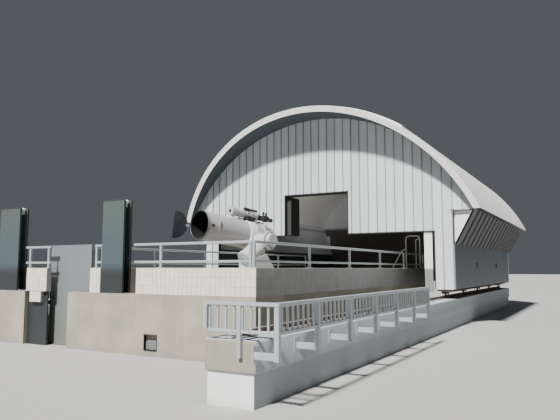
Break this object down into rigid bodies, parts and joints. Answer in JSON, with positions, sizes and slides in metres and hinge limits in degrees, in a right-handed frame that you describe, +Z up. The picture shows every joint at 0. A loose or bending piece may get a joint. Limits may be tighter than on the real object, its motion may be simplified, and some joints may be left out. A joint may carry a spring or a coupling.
{
  "type": "rolling-roof observatory shelter with telescope platform",
  "caption": "Barrel-vaulted metal shelter rolling on two rail beams over a walled, tile-clad platform that carries a large telescope on an equatorial mount.",
  "frame": {"origin": "on the ground, on the middle plane of the vault, midway between the front end of the right beam's fence and the rear end of the beams", "axes": "+X to the right seen from the front, +Y to the rear along the rails, +Z up"},
  "size_m": [9.544, 20.06, 6.274],
  "materials": {
    "concrete": "weathered cast concrete",
    "tile": "cream glazed tile",
    "white_paint": "satin white paint",
    "rail_steel": "worn rolled steel",
    "railing_metal": "anodised aluminium",
    "cladding": "silver standing-seam sheet",
    "roof_sheet": "pale silver sheet",
    "screen_metal": "grey satin sheet",
    "tube_white": "white gloss paint",
    "mount_grey": "grey enamel",
    "black_paint": "matt black paint"
  },
  "bodies": {
    "base": {"rail_beam_right": "concrete", "rail_beam_left": "concrete", "rail_right": "rail_steel", "rail_left": "rail_steel", "guard_fence_right": "railing_metal", "guard_fence_left": "railing_metal", "front_wall": "concrete", "front_wall_beside_gate": "concrete", "side_wall_right": "concrete", "side_wall_left": "concrete", "rear_wall": "concrete", "tile_band_front": "tile", "tile_pier": "tile", "tile_pier_left": "tile", "side_panel": "screen_metal", "tile_band_right": "tile", "tile_band_left": "tile", "tile_band_rear": "tile", "platform_floor": "concrete", "railing_front": "railing_metal", "railing_pier": "railing_metal", "railing_side_pier": "railing_metal", "railing_right": "railing_metal", "railing_left": "railing_metal", "stair_hoop": "white_paint", "folded_screen_middle": "screen_metal", "folded_screen_left": "screen_metal", "gate_track": "rail_steel", "telescope_pier": "mount_grey", "polar_housing": "mount_grey"},
    "shelter": {"roof_vault": "roof_sheet", "ridge_cap": "roof_sheet", "front_fascia": "roof_sheet", "gable_over_door": "cladding", "gable_right": "cladding", "gable_left": "cladding", "rear_gable": "cladding", "shelter_wall_right": "cladding", "shelter_wall_left": "cladding", "flared_wall_right": "cladding", "flared_wall_left": "cladding", "corner_gusset_right": "white_paint", "corner_gusset_left": "white_paint", "sill_girder_right": "rail_steel", "sill_girder_left": "rail_steel", "door_track": "rail_steel", "folded_door": "screen_metal", "door_end_leaf": "white_paint"},
    "gate": {"gate_leaf": "screen_metal"},
    "mount_head": {"declination_housing": "mount_grey", "counterweight": "mount_grey"},
    "tube": {"tube_shell": "tube_white", "rear_cell": "tube_white", "tube_cradle": "tube_white", "guide_telescope": "tube_white"},
    "lid": {"tube_lid": "black_paint"}
  },
  "joints": [
    {"name": "shelter_roll", "type": "slide", "parent": "base", "child": "shelter", "axis": [0, -1, 0], "range_m": [0, 7]},
    {"name": "gate_slide", "type": "slide", "parent": "base", "child": "gate", "axis": [1, 0, 0], "range_m": [0, 0.9]},
    {"name": "polar_axis", "type": "hinge", "parent": "base", "child": "mount_head", "pos_m": [0.717, -4.225, 2.186], "axis": [0.2162, 0.7901, 0.5736], "range_deg": [0, 90]},
    {"name": "declination_axis", "type": "hinge", "parent": "mount_head", "child": "tube", "pos_m": [0.717, -4.225, 2.186], "axis": [-0.9646, 0.2639, 0], "range_deg": [0, 120]},
    {"name": "lid_hinge", "type": "hinge", "parent": "tube", "child": "lid", "pos_m": [-0.54797, -5.41928, 2.49792], "axis": [0.029, 0.1058, 0.994], "range_deg": [0, 125]}
  ]
}
